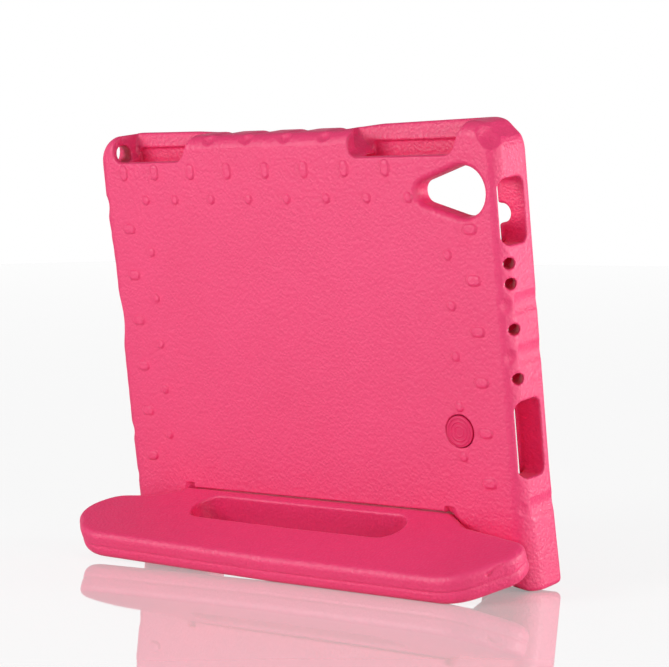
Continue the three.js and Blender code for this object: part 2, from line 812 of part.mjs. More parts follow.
const tablet_case = new THREE.Group();

// The leaned case stands on the rounded back lower edges of its legs.
const case_group = new THREE.Group();
case_group.rotation.x = lean;
case_group.position.z = -case_drop;
tablet_case.add(case_group);

case_group.add(piece("case_shell", geometryOf(caseShell()), foam));
const disc = piece("back_disc", backDisc(), disc_plastic);
disc.position.set(disc_x, 0, disc_height);
case_group.add(disc);
for (const side of [-1, 1]) {
  const name = side < 0 ? "hinge_pin_left" : "hinge_pin_right";
  const pin = piece(name, hingePin(), pin_plastic);
  const inner = notch_half_width - barrel_end_gap - pin_in_barrel;
  const outer = notch_half_width + pin_in_leg;
  pin.position.set(side < 0 ? -outer : inner, axis_depth, axis_height);
  case_group.add(pin);
}

// The handle slopes from the hinge down to the floor behind the case.
const handle_group = new THREE.Group();
handle_group.position.y = axis_world_y;
handle_group.position.z = axis_world_z;
handle_group.rotation.x = slope;
handle_group.add(piece("stand_handle", geometryOf(standHandle()), foam));
tablet_case.add(handle_group);

// The origin is the middle of the whole part's footprint, on the floor.
tablet_case.updateMatrixWorld(true);
const extent = new THREE.Box3().setFromObject(tablet_case, true);
for (const group of [case_group, handle_group]) {
  group.position.x -= (extent.min.x + extent.max.x) / 2;
  group.position.y -= (extent.min.y + extent.max.y) / 2;
  group.position.z -= extent.min.z;
}

export default tablet_case;
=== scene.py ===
"""Kids tablet case of moulded foam, seen from behind as it stands on its folded-out carry handle.

The foam pieces are smooth solids given by a distance field: below zero inside the foam, above zero outside.
Outlines, slabs and round bars are joined and cut with rounded edges, as a mould would leave them, and the
surface where the field is zero is then meshed. All lengths in the tables are millimetres.
"""

import json
import math

import bmesh
import bpy
import numpy as np
from mathutils import Matrix, Vector


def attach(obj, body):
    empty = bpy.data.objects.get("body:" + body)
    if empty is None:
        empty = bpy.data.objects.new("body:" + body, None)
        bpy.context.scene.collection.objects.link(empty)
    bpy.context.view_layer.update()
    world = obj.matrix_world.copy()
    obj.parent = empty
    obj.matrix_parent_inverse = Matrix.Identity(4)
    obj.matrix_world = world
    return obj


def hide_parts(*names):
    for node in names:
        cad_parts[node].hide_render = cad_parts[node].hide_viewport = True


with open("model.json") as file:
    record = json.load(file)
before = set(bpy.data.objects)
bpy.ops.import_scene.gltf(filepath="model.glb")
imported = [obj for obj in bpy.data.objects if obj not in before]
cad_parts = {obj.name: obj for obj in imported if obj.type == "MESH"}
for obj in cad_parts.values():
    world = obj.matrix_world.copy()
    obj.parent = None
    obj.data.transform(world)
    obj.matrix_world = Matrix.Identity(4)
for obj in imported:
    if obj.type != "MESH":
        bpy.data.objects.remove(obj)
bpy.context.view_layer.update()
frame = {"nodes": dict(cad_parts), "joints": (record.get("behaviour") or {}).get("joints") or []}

# Camera, fitted to the grid of nubs in the photo.
VIEW_WIDTH = 669
VIEW_HEIGHT = 667
FOCAL_PIXELS = 2338.3
CENTRE_PIXEL = (334.3, 332.8)
SENSOR_WIDTH = 36.0
CAMERA_PLACE = (782.8, -926.36, 185.58)
CAMERA_RIGHT = (0.76807, 0.64035, -0.00546)
CAMERA_UP = (-0.02822, 0.04237, 0.99870)

# The case in its own frame: x along its length, depth from the back face, height along the back.
LEAN = math.radians(7.4)
SLOPE = math.radians(24.0)
HALF_LENGTH = 132.7
HEIGHT = 228.6
THICKNESS = 27.2
BACK_WALL = 12.0
POCKET_FRONT = 20.5
POCKET = (-120.5, 44.4, 120.5, 215.4)
LIP = 3.5
BACK_RIM = 8.0
FRONT_RIM = 4.0
LEG_FLARE = 2.0
LEG_FLARE_HEIGHT = 58.4
AXIS_DEPTH = 17.5
AXIS_HEIGHT = 23.4
NOTCH_HALF = 91.0
NOTCH_HEIGHT = 38.0
NOTCH_CORNER = 9.0
NUB_ACROSS = 26.2
NUB_UP = 25.0
GAP = 0.35
FOOT_RIM = 3.0
PIN_BORE = 3.3
DISC_X = 98.2
DISC_HEIGHT = 79.6
DISC_RADIUS = 7.9
STEM_RADIUS = 2.5
DISC_GAP = 0.4
STEM_GAP = 0.35
TOP_SLOTS = ((-121.5, -72.3), (42.5, 106.0))
SIDE_OPENINGS = ((186.9, 32.0), (75.9, 38.0))
LEFT_MIDDLE = 129.9
LEFT_DIP = 26.0

# Grooves over the edges: a round bar sunk into the wall, and a ball that scoops its start on the back corner.
GROOVE_RADIUS = 10.54
GROOVE_DEPTH = 1.4
SCOOP_RADIUS = 6.65
SCOOP_OUT = 1.37

# Where the hinge axis and the case's lower back edge lie in the part's frame.
axis_place = Vector(frame["joints"][0]["pos_m"]) * 1000
case_origin = axis_place - Matrix.Rotation(LEAN, 3, "X") @ Vector((0, AXIS_DEPTH, AXIS_HEIGHT))

STEP = 0.8
CORNER_STEPS = 10


def segments(points):
    """Closed polyline as start points and directions."""
    start = np.asarray(points, float)
    return start, np.roll(start, -1, axis=0) - start


def rounded(corners, steps=CORNER_STEPS):
    """Closed outline with each corner [a, b, radius] replaced by an arc of that radius."""
    points = []
    count = len(corners)
    for i in range(count):
        here = np.array(corners[i][:2], float)
        before = np.array(corners[i - 1][:2], float) - here
        after = np.array(corners[(i + 1) % count][:2], float) - here
        before /= np.linalg.norm(before)
        after /= np.linalg.norm(after)
        half = math.acos(np.clip(before @ after, -1, 1)) / 2
        radius = corners[i][2]
        middle = before + after
        centre = here + middle / np.linalg.norm(middle) * radius / math.sin(half)
        first = here + before * radius / math.tan(half) - centre
        last = here + after * radius / math.tan(half) - centre
        begin = math.atan2(first[1], first[0])
        sweep = math.atan2(last[1], last[0]) - begin
        sweep = math.atan2(math.sin(sweep), math.cos(sweep))
        for k in range(steps + 1):
            angle = begin + sweep * k / steps
            points.append(centre + radius * np.array([math.cos(angle), math.sin(angle)]))
    return points


def outline(points, a, b):
    """Signed distance from each place on the grid a by b to a closed outline, below zero inside it."""
    a = np.asarray(a, np.float32)[:, None]
    b = np.asarray(b, np.float32)[None, :]
    near = np.full((a.shape[0], b.shape[1]), 1e9, np.float32)
    inside = np.zeros(near.shape, bool)
    for (pa, pb), (da, db) in zip(*segments(points)):
        length = da * da + db * db
        if length < 1e-12:
            continue
        share = np.clip(((a - pa) * da + (b - pb) * db) / length, 0, 1)
        near = np.minimum(near, (a - pa - share * da) ** 2 + (b - pb - share * db) ** 2)
        if abs(db) > 1e-9:
            crosses = (pb > b) != (pb + db > b)
            inside ^= crosses & (a < pa + (b - pb) / db * da)
    distance = np.sqrt(near)
    return np.where(inside, -distance, distance)


def both(first, second, radius):
    """What two solids share, its outer edge rounded by the radius."""
    one = np.maximum(first + radius, 0)
    two = np.maximum(second + radius, 0)
    return np.minimum(np.maximum(first, second), -radius) + np.sqrt(one * one + two * two)


def either(first, second, radius):
    """Two solids joined, the inner corner between them filled by the radius."""
    return -both(-first, -second, radius)


def without(solid, cut, radius):
    """A solid with another cut out of it, the rim of the cut rounded by the radius."""
    return both(solid, -cut, radius)


def box2(a, b, low_a, low_b, high_a, high_b, radius):
    """Signed distance to a rectangle with rounded corners."""
    one = np.abs(a - (low_a + high_a) / 2) - (high_a - low_a) / 2 + radius
    two = np.abs(b - (low_b + high_b) / 2) - (high_b - low_b) / 2 + radius
    return np.hypot(np.maximum(one, 0), np.maximum(two, 0)) - radius + np.minimum(np.maximum(one, two), 0)


def bar(x, y, z, start, end, radius):
    """Signed distance to a round bar with flat ends."""
    start = np.array(start, float)
    way = np.array(end, float) - start
    length = np.linalg.norm(way)
    way /= length
    along = (x - start[0]) * way[0] + (y - start[1]) * way[1] + (z - start[2]) * way[2]
    square = (x - start[0]) ** 2 + (y - start[1]) ** 2 + (z - start[2]) ** 2 - along * along
    return np.maximum(np.sqrt(np.maximum(square, 0)) - radius, np.maximum(-along, along - length))


def pill(a, b, half_a, half_b):
    """Signed distance to a flat shape with round ends and the two half sizes."""
    radius = min(half_a, half_b)
    return np.hypot(np.maximum(np.abs(a) - half_a + radius, 0), np.maximum(np.abs(b) - half_b + radius, 0)) - radius


class Solid:
    """A distance field on a regular grid, changed only inside the box that each feature needs."""

    def __init__(self, low, high, step=STEP):
        self.axes = [np.arange(low[i], high[i] + step, step, dtype=np.float32) for i in range(3)]
        self.step = step
        self.field = None

    def window(self, low, high):
        found = []
        for axis, start, end in zip(self.axes, low, high):
            first = max(int(np.searchsorted(axis, start)) - 1, 0)
            last = min(int(np.searchsorted(axis, end)) + 1, len(axis))
            found.append(slice(first, last))
        return tuple(found)

    def places(self, where):
        x, y, z = (axis[part] for axis, part in zip(self.axes, where))
        return x[:, None, None], y[None, :, None], z[None, None, :]

    def change(self, low, high, how):
        where = self.window(low, high)
        self.field[where] = how(self.field[where], *self.places(where))

    def cut(self, low, high, shape, radius):
        self.change(low, high, lambda old, x, y, z: without(old, shape(x, y, z), radius))

    def add(self, low, high, shape, radius):
        self.change(low, high, lambda old, x, y, z: either(old, shape(x, y, z), radius))

    def surface(self):
        """Vertices, four-cornered faces and outward normals of the surface where the field is zero."""
        f = self.field
        inside = f < 0
        n = np.array(f.shape)
        total = np.zeros(tuple(n - 1), np.int8)
        for i in (0, 1):
            for j in (0, 1):
                for k in (0, 1):
                    total += inside[i:n[0] - 1 + i, j:n[1] - 1 + j, k:n[2] - 1 + k]
        cells = np.argwhere((total > 0) & (total < 8))
        number = np.full(tuple(n - 1), -1, np.int64)
        number[tuple(cells.T)] = np.arange(len(cells))
        corner = {}
        for i in (0, 1):
            for j in (0, 1):
                for k in (0, 1):
                    corner[i, j, k] = f[cells[:, 0] + i, cells[:, 1] + j, cells[:, 2] + k].astype(np.float64)
        summed = np.zeros((len(cells), 3))
        count = np.zeros(len(cells))
        for axis in range(3):
            for one in (0, 1):
                for two in (0, 1):
                    start = [one, two]
                    start.insert(axis, 0)
                    end = list(start)
                    end[axis] = 1
                    low, high = corner[tuple(start)], corner[tuple(end)]
                    crosses = (low < 0) != (high < 0)
                    share = np.where(crosses, low / np.where(crosses, low - high, 1), 0)
                    place = np.tile(np.array(start, float), (len(cells), 1))
                    place[:, axis] = share
                    summed += place * crosses[:, None]
                    count += crosses
        vertices = cells + summed / count[:, None]
        faces = []
        for axis in range(3):
            u, v = (axis + 1) % 3, (axis + 2) % 3
            low = [slice(0, n[0] - 1), slice(0, n[1] - 1), slice(0, n[2] - 1)]
            low[u] = slice(1, n[u] - 1)
            low[v] = slice(1, n[v] - 1)
            high = list(low)
            high[axis] = slice(1, n[axis])
            a, b = inside[tuple(low)], inside[tuple(high)]
            edges = np.argwhere(a != b)
            leaving = a[tuple(edges.T)]
            edges[:, u] += 1
            edges[:, v] += 1
            ring = []
            for du, dv in ((0, 0), (1, 0), (1, 1), (0, 1)):
                cell = edges.copy()
                cell[:, u] -= 1 - du
                cell[:, v] -= 1 - dv
                ring.append(number[tuple(cell.T)])
            quad = np.stack(ring, axis=1)
            quad[~leaving] = quad[~leaving][:, ::-1]
            faces.append(quad)
        faces = np.concatenate(faces)
        origin = np.array([axis[0] for axis in self.axes], float)
        vertices = origin + vertices * self.step
        for _ in range(2):
            value, slope = self.sample(vertices)
            steep = np.maximum((slope ** 2).sum(axis=1), 0.25)
            vertices -= slope * (np.clip(value / steep, -0.3, 0.3) * 0.8)[:, None]
        return vertices, faces

    def value(self, points):
        """The field between grid places, by shares of the eight nearest."""
        origin = np.array([axis[0] for axis in self.axes], float)
        place = (points - origin) / self.step
        limit = np.array(self.field.shape) - 2
        cell = np.clip(np.floor(place).astype(int), 0, limit)
        part = np.clip(place - cell, 0, 1)
        found = np.zeros(len(points))
        for i in (0, 1):
            for j in (0, 1):
                for k in (0, 1):
                    share = np.abs(1 - i - part[:, 0]) * np.abs(1 - j - part[:, 1]) * np.abs(1 - k - part[:, 2])
                    found += share * self.field[cell[:, 0] + i, cell[:, 1] + j, cell[:, 2] + k]
        return found

    def sample(self, points):
        """The field and its slope at each point."""
        slope = np.zeros((len(points), 3))
        for axis in range(3):
            shift = np.zeros(3)
            shift[axis] = self.step * 0.5
            slope[:, axis] = (self.value(points + shift) - self.value(points - shift)) / self.step
        return self.value(points), slope


def drop_outline():
    """Camera window: a large circle and a small one joined by the lines that touch both."""
    big, big_radius = np.array([110.9, HEIGHT - 31.2]), 12.8
    small, small_radius = np.array([88.8, HEIGHT - 31.4]), 6.2
    span = small - big
    heading = math.atan2(span[1], span[0])
    opening = math.acos((big_radius - small_radius) / np.linalg.norm(span))
    points = []
    for k in range(41):
        angle = heading + opening + (2 * math.pi - 2 * opening) * k / 40
        points.append(big + big_radius * np.array([math.cos(angle), math.sin(angle)]))
    for k in range(17):
        angle = heading - opening + 2 * opening * k / 16
        points.append(small + small_radius * np.array([math.cos(angle), math.sin(angle)]))
    return points


def swing_room(x, depth, height):
    """Room that the handle's shoulders need as they swing down past a leg, below zero inside it."""
    across = np.abs(x)
    edge = np.interp(across, [88.0, 104.5, 146.0], [10.7, 22.2, 30.0]).astype(np.float32) - 0.7
    back, up = AXIS_DEPTH - depth, height - AXIS_HEIGHT
    turn = SLOPE - LEAN
    reach = back * math.cos(turn) - up * math.sin(turn)
    rise = back * math.sin(turn) + up * math.cos(turn)
    return np.maximum(edge + 0.3 - np.hypot(back, up), np.minimum(edge - reach, rise - 3))


def notch(x, z):
    """Signed distance to the notch between the legs, below zero in the open room."""
    one = np.abs(x) - NOTCH_HALF + NOTCH_CORNER
    two = z - NOTCH_HEIGHT + NOTCH_CORNER
    return np.hypot(np.maximum(one, 0), np.maximum(two, 0)) - NOTCH_CORNER + np.minimum(np.maximum(one, two), 0)


def case_solid():
    """Foam tray: a slab with a large rounding behind and a small one in front, then nubs, cuts and grooves."""
    solid = Solid((-138.5, -4.0, -3.0), (138.5, 31.0, 232.5))
    x, y, z = solid.axes
    foot = HALF_LENGTH + LEG_FLARE
    plan = outline(rounded([
        [-foot, -20, 1], [foot, -20, 1], [foot, 0, 20], [HALF_LENGTH, LEG_FLARE_HEIGHT, 60],
        [HALF_LENGTH, HEIGHT + 2.9, 16], [48, HEIGHT + 1.2, 60], [34, HEIGHT, 60], [-64, HEIGHT, 60],
        [-78, HEIGHT + 0.7, 60], [-HALF_LENGTH - 1.9, HEIGHT + 1.3, 14], [-HALF_LENGTH - 1.9, 190, 60],
        [-HALF_LENGTH, 160, 60], [-HALF_LENGTH, LEG_FLARE_HEIGHT, 60], [-foot, 0, 20],
    ]), x, z)[:, None, :]
    depth = y[None, :, None]
    back_rim = BACK_RIM + 4.5 * np.clip((66 - z) / 56, 0, 1)[None, None, :]
    solid.field = np.maximum(both(plan, -depth, back_rim), both(plan, depth - THICKNESS, FRONT_RIM))
    ground = -(z[None, None, :] * math.cos(LEAN) + depth * math.sin(LEAN) + case_origin.z)
    solid.field = both(both(solid.field, -z[None, None, :], FOOT_RIM), ground, 1.0)

    nub_rows(solid)

    view = box2(x[:, None], z[None, :], POCKET[0] + LIP, POCKET[1] + LIP, POCKET[2] - LIP, POCKET[3] - LIP, 6.0)
    room = box2(x[:, None], z[None, :], *POCKET, 9.0)
    solid.field = without(solid.field, np.maximum(view[:, None, :], BACK_WALL + 4 - depth), 1.6)
    deep = np.abs(depth - (BACK_WALL + POCKET_FRONT) / 2) - (POCKET_FRONT - BACK_WALL) / 2
    solid.field = without(solid.field, both(room[:, None, :], deep, 0.6), 0.8)

    for start, end in TOP_SLOTS:
        top_slot(solid, start, end)

    def port_shape(a, b, c):
        shift = 0.3 * np.clip(-119.5 - a, 0, 30)
        return np.maximum(box2(b - shift, c, 2.6, 215.2, 12.8, 224.2, 4.0), a + 117)
    solid.cut((-138, 0, 210), (-114, 24, 229), port_shape, 0.8)

    drop = drop_outline()

    def window_shape(a, b, c):
        flat = outline(drop, a[:, 0, 0], c[0, 0])[:, None, :]
        return np.maximum(flat + 0.06 * b, b - BACK_WALL - 2)
    solid.cut((74, -4, 176), (132, 16, 218), window_shape, 3.4)

    for middle, length in SIDE_OPENINGS:
        low, high = middle - length / 2, middle + length / 2
        solid.cut(
            (114, -2, low - 6), (138, 27, high + 6),
            lambda a, b, c: np.maximum(box2(b, c, 3.0, low, 21.0, high, 4.5), 118.5 - a), 1.1,
        )
    hole = [118.6, 18.5, 184.6], [118.6, 31, 184.6]
    solid.cut((108, 16, 176), (130, 31, 198), lambda a, b, c: bar(a, b, c, *hole, 4.6), 1.6)

    for height in (162.2, 152.4, 130.2, 106.1):
        slant_hole(solid, 1, height, 2.8)
    for way in (-1, 1):
        for k in range(4):
            slant_hole(solid, -1, LEFT_MIDDLE + way * 34.6 + (k - 1.5) * 9.3, 3.0)

    for height in (142.1, 117.1, 42.1):
        side_groove(solid, 1, height)
    for height in (192.1, 67.1, 42.1):
        side_groove(solid, -1, height)
    for k in range(-2, 2):
        top_groove(solid, k * NUB_ACROSS)
    corner = [HALF_LENGTH + 0.83, 8, HEIGHT + 3.7], [HALF_LENGTH + 0.83, 31, HEIGHT + 3.7]
    solid.cut((114, 4, 210), (138.5, 31.0, 232.5), lambda a, b, c: bar(a, b, c, *corner, 9.0), 2.0)
    scoop = (134.2, -4.4, 229.4)
    solid.cut(
        (114, -4, 210), (138.5, 12, 232.5),
        lambda a, b, c: ball(a, b, c, scoop, 14.0), 0.8,
    )

    dip = -HALF_LENGTH + 4.6 - LEFT_DIP
    centre = [dip, -4, LEFT_MIDDLE], [dip, 31, LEFT_MIDDLE]
    solid.cut((-138, -4, 108), (-124, 31.0, 152), lambda a, b, c: bar(a, b, c, *centre, LEFT_DIP), 3.0)
    solid.cut(
        (-138, 10, 118), (-117, 23, 142),
        lambda a, b, c: np.maximum(box2(b, c, 12.25, 122.4, 20.25, 137.4, 2.6), a + 118.5), 0.8,
    )

    solid.cut((-104, -4, -3), (104, 31.0, 45), lambda a, b, c: notch(a, c) + 0 * b, 1.3)
    for side in (-1, 1):
        leg_round(solid, side)
        solid.cut(
            (min(side * 86, side * 138), -4, -3), (max(side * 86, side * 138), 19, 40),
            lambda a, b, c: np.maximum(swing_room(a, b, c), b - AXIS_DEPTH), 1.2,
        )
        pin = [side * 88, AXIS_DEPTH, AXIS_HEIGHT], [side * 113.3, AXIS_DEPTH, AXIS_HEIGHT]
        solid.cut(
            (min(side * 88, side * 116), 12, 18), (max(side * 88, side * 116), 23, 29),
            lambda a, b, c: bar(a, b, c, *pin, PIN_BORE), 0.4,
        )

    seat = [DISC_X, -4, DISC_HEIGHT], [DISC_X, 2.65, DISC_HEIGHT]
    solid.cut((86, -4, 67), (110, 5, 92), lambda a, b, c: bar(a, b, c, *seat, DISC_RADIUS + DISC_GAP), 0.6)
    stem = [DISC_X, 0, DISC_HEIGHT], [DISC_X, 8.65, DISC_HEIGHT]
    solid.cut((93, 1, 74), (103, 11, 85), lambda a, b, c: bar(a, b, c, *stem, STEM_RADIUS + STEM_GAP), 0.3)
    return solid


def nub_rows(solid):
    """Raised nubs on the back: a border of ovals and a row of round ones inside it."""
    oval_row, round_row = HEIGHT - 18.5, HEIGHT - 33.3
    nubs = [(-HALF_LENGTH + 18.2, oval_row, 2.7, 4.3), (-HALF_LENGTH + 32.7, round_row, 2.7, 2.7)]
    for k in range(-4, 3):
        nubs.append(((k + 0.5) * NUB_ACROSS, oval_row, 2.7, 4.3))
        nubs.append(((k + 1) * NUB_ACROSS, round_row, 2.7, 2.7))
    for side in (-1, 1):
        for k in range(6):
            nubs.append((side * (HALF_LENGTH - 18.4), 54.6 + k * NUB_UP, 4.3, 2.7))
        for k in range(5):
            nubs.append((side * (HALF_LENGTH - 33.0), 54.6 + (k + 0.5) * NUB_UP, 2.7, 2.7))
    for across, height, wide, tall in nubs:
        solid.add(
            (across - 9, -4, height - 9), (across + 9, 4, height + 9),
            lambda a, b, c: both(pill(a - across, c - height, wide, tall), -b - 1.15, 1.1), 0.2,
        )


def top_slot(solid, start, end):
    """Slot in the top wall, open behind and above, with a slanted front face and one end flared."""
    floor = POCKET[3] - 0.01
    edge = rounded([[start, floor, 5], [end, floor, 7], [end + 7.5, HEIGHT + 4, 1], [start, HEIGHT + 4, 1]])
    ramp = rounded([
        [-6, floor - 6, 1], [19, floor - 6, 1], [19, HEIGHT - 5.5, 1], [22.6, HEIGHT + 4, 0.5], [-6, HEIGHT + 4, 1],
    ])

    def shape(a, b, c):
        plan = outline(edge, a[:, 0, 0], c[0, 0])[:, None, :]
        side = outline(ramp, b[0, :, 0], c[0, 0])[None, :, :]
        return both(plan, side, 1.5)
    solid.cut((start - 8, -4, floor - 6), (end + 14, 28, HEIGHT + 4), shape, 1.2)

    lean = 1.5 if start < 0 else 9.0
    wedge = rounded([
        [start + 3, floor - 5, 1], [end - 3, floor - 5, 1], [end - 3, HEIGHT + 4, 1],
        [start - lean, HEIGHT + 4, 1], [start - lean + 1, HEIGHT - 3, 4], [start + 3, floor + 1, 3],
    ])

    def undercut(a, b, c):
        plan = outline(wedge, a[:, 0, 0], c[0, 0])[:, None, :]
        side = outline(ramp, b[0, :, 0], c[0, 0])[None, :, :]
        return both(plan, np.maximum(side, 7 - b), 1.0)
    solid.cut((start - 14, 4, floor - 6), (end, 28, HEIGHT + 4), undercut, 0.8)
    under = (start + 1.5, floor - 5, end - 1.5, 221.6)
    solid.cut(
        (start, 11, floor - 8), (end, 23, 224),
        lambda a, b, c: both(box2(a, c, *under, 3.0), np.abs(b - 16.9) - 3.7, 1.0), 0.5,
    )


def slant_hole(solid, side, height, radius):
    """Small hole bored slantwise through the rounded back corner into the pocket."""
    slant = math.radians(50)
    entry = HALF_LENGTH - BACK_RIM * (1 - math.cos(math.radians(26)))
    out, far = 8.0, (POCKET_FRONT - 0.5 - 5.1) / math.sin(slant)
    start = [side * (entry + math.cos(slant) * out), 5.1 - math.sin(slant) * out, height]
    end = [side * (entry - math.cos(slant) * far), 5.1 + math.sin(slant) * far, height]
    low, high = sorted((start[0], end[0]))
    solid.cut(
        (low - 3, -4, height - 6), (high + 3, 24, height + 6),
        lambda a, b, c: bar(a, b, c, start, end, radius), 0.7,
    )


def ball(x, y, z, centre, radius):
    """Signed distance to a ball."""
    return np.sqrt((x - centre[0]) ** 2 + (y - centre[1]) ** 2 + (z - centre[2]) ** 2) - radius


def groove(solid, low, high, middle, scoop):
    """Groove of a round bar at middle = (x, height), with a ball at scoop for its start on the back corner."""
    line = [middle[0], 7, middle[1]], [middle[0], 31, middle[1]]

    def shape(a, b, c):
        start = ball(a, b, c, (scoop[0], -SCOOP_OUT, scoop[1]), SCOOP_RADIUS)
        return either(bar(a, b, c, *line, GROOVE_RADIUS), start, 1.0)
    solid.cut((low[0], -4, low[1]), (high[0], 31.5, high[1]), shape, 0.6)


def side_groove(solid, side, height):
    """Shallow groove across the side wall with a scooped start on the back corner."""
    wall = HALF_LENGTH + LEG_FLARE * max(0.0, 1 - height / LEG_FLARE_HEIGHT)
    centre = side * (wall - GROOVE_DEPTH + GROOVE_RADIUS)
    low, high = sorted((side * (wall - 7), side * 138))
    groove(solid, (low, height - 10), (high, height + 10), (centre, height), (side * (wall + SCOOP_OUT), height))


def top_groove(solid, across):
    """Shallow groove across the top wall with a scooped start on the back corner."""
    centre = HEIGHT - GROOVE_DEPTH + GROOVE_RADIUS
    low, high = (across - 10, HEIGHT - 8), (across + 10, HEIGHT + 3)
    groove(solid, low, high, (across, centre), (across, HEIGHT + SCOOP_OUT))


def leg_round(solid, side):
    """Rounds the leg's inner lower corner, where the notch meets the floor."""
    corner = rounded([
        [side * (NOTCH_HALF - 3), -6, 1], [side * (NOTCH_HALF + 14), -6, 1], [side * (NOTCH_HALF + 14), 0, 0.5],
        [side * NOTCH_HALF, 0, 9], [side * NOTCH_HALF, 14, 1], [side * (NOTCH_HALF - 3), 14, 1],
    ])
    low, high = sorted((side * (NOTCH_HALF - 1), side * (NOTCH_HALF + 12)))
    solid.cut(
        (low, -4, -3), (high, 31.5, 12),
        lambda a, b, c: outline(corner, a[:, 0, 0], c[0, 0])[:, None, :] + 0 * b, 1.0,
    )


STOP_UP = NOTCH_HEIGHT - GAP - AXIS_HEIGHT
STOP_REACH = AXIS_DEPTH * math.cos(SLOPE - LEAN) - STOP_UP * math.sin(SLOPE - LEAN)
PLATE_RISE = AXIS_DEPTH * math.sin(SLOPE - LEAN) + STOP_UP * math.cos(SLOPE - LEAN)
PLATE_THICKNESS = 16.0
PARTING_DROP = 8.0
LEFT_TWIST = math.radians(2.5)


def twist_left(solid):
    """Turns the handle's left half a little about the hinge, as the soft foam stands in the photo."""
    x, y, z = solid.axes
    for i in np.flatnonzero(x < 10):
        angle = LEFT_TWIST * (10 - x[i]) / 156
        reach = y[:, None] * math.cos(angle) + z[None, :] * math.sin(angle)
        rise = z[None, :] * math.cos(angle) - y[:, None] * math.sin(angle)
        one = np.clip((reach - y[0]) / solid.step, 0, len(y) - 1.001)
        two = np.clip((rise - z[0]) / solid.step, 0, len(z) - 1.001)
        row, column = one.astype(int), two.astype(int)
        one, two = one - row, two - column
        sheet = solid.field[i]
        near = sheet[row, column] * (1 - two) + sheet[row, column + 1] * two
        far = sheet[row + 1, column] * (1 - two) + sheet[row + 1, column + 1] * two
        solid.field[i] = near * (1 - one) + far * one


def handle_solid():
    """Foam handle in (x, reach from the axis, rise above it): a plate with rounded rims, a slot and a barrel."""
    solid = Solid((-151.0, -13.0, -13.0), (151.0, 74.5, 22.0))
    x, y, z = solid.axes
    plan = outline(rounded([
        [88, STOP_REACH - 2, 6.2], [104.5, 22.2, 3.5], [146.5, 31, 9], [148.3, 45, 12], [127, 70.6, 26],
        [0, 70.1, 600],
        [-121, 69.8, 28], [-145, 46, 16], [-131, 27, 18], [-104.5, 22.2, 3.5], [-88, STOP_REACH - 2, 6.2],
    ]), x, y)[:, :, None]
    rise = z[None, None, :]
    top, bottom = PLATE_RISE, PLATE_RISE - PLATE_THICKNESS
    upper = both(plan, rise - top, 3.6)
    lower = both(plan, bottom - rise, 5.2)
    solid.field = np.maximum(upper, lower)
    parting = np.hypot(plan + 0.0 * rise, rise - (top - PARTING_DROP)) - 0.6
    solid.field = without(solid.field, parting, 0.3)

    web_end = STOP_REACH + 21.5
    web_angle = math.atan2(bottom + 10, web_end)
    web = outline(rounded([
        [0, 10, 0.5], [STOP_REACH, top - 0.15, 0.5], [web_end, top - 3, 0.5], [web_end, bottom, 0.5],
        [10 * math.sin(web_angle), -10 * math.cos(web_angle), 0.5],
    ]), y, z)[None, :, :]
    barrel = np.hypot(y[:, None], z[None, :])[None, :, :] - 10
    tongue_end = (np.abs(x) - (NOTCH_HALF - 1.6))[:, None, None]
    tongue = both(either(web, barrel, 2.0), tongue_end, 1.2)
    solid.field = either(solid.field, tongue, 1.5)

    gash = [(138.4, 56.6, top - 4.4), (141.4, 53.0, top - 2.5), (144.2, 49.4, top - 1.6)]
    for one, two in zip(gash, gash[1:]):
        solid.cut(
            (132, 44, top - 9), (151, 62, top + 2), lambda a, b, c: bar(a, b, c, one, two, 0.9), 0.3,
        )

    slot = box2(x[:, None], y[None, :], -70, 29.3 - 10.75, 70, 29.3 + 10.75, 10.4)[:, :, None]
    solid.field = without(solid.field, slot + 0 * rise, 1.4)
    twist_left(solid)

    turn = SLOPE - LEAN
    high = -y[:, None] * math.sin(turn) + z[None, :] * math.cos(turn) + AXIS_HEIGHT
    depth = -y[:, None] * math.cos(turn) - z[None, :] * math.sin(turn) + AXIS_DEPTH
    clear = notch(x[:, None, None], high[None, :, :]) + GAP
    inside = np.minimum(clear, depth[None, :, :] + 0.5)
    near = np.abs(x)[:, None, None] < 93
    solid.field = np.where(near, both(solid.field, inside, 0.5), solid.field)

    for side in (-1, 1):
        pin = [side * 66.9, 0, 0], [side * 92, 0, 0]
        low, high = sorted((side * 64, side * 92))
        solid.cut((low, -6, -6), (high, 6, 6), lambda a, b, c: bar(a, b, c, *pin, PIN_BORE), 0.4)
    return solid


def placed(vertices, angle, origin):
    """Points of a tilted frame, in millimetres, as metres in the part's frame."""
    x, y, z = vertices.T
    cosine, sine = math.cos(angle), math.sin(angle)
    turned = np.stack([x, y * cosine - z * sine, y * sine + z * cosine], axis=1)
    return (turned + np.array(origin)) / 1000


def turned_normals(normals, angle):
    """Normals of a tilted frame in the part's frame."""
    return placed(normals, angle, (0, 0, 0)) * 1000


def in_front(x, depth, height):
    """Whether a place on the case is in the pocket, on the front or on the left side, away from the photo's view."""
    return depth > BACK_RIM + 1 and x < POCKET[2] - 2 and height < POCKET[3] - 1


def split_long_edges(mesh, plain):
    """Halves the long edges of a thinned mesh, so that each normal reaches only a short way.

    With plain set, the edges in front may stay longer.
    """
    work = bmesh.new()
    work.from_mesh(mesh)
    for _ in range(3):
        long_edges = [
            edge for edge in work.edges
            if edge.calc_length() > (6.0 if plain and all(in_front(*vert.co) for vert in edge.verts) else 3.0)
        ]
        bmesh.ops.subdivide_edges(work, edges=long_edges, cuts=1, use_grid_fill=False)
        bmesh.ops.triangulate(work, faces=[face for face in work.faces if len(face.verts) > 3])
    work.to_mesh(mesh)
    work.free()


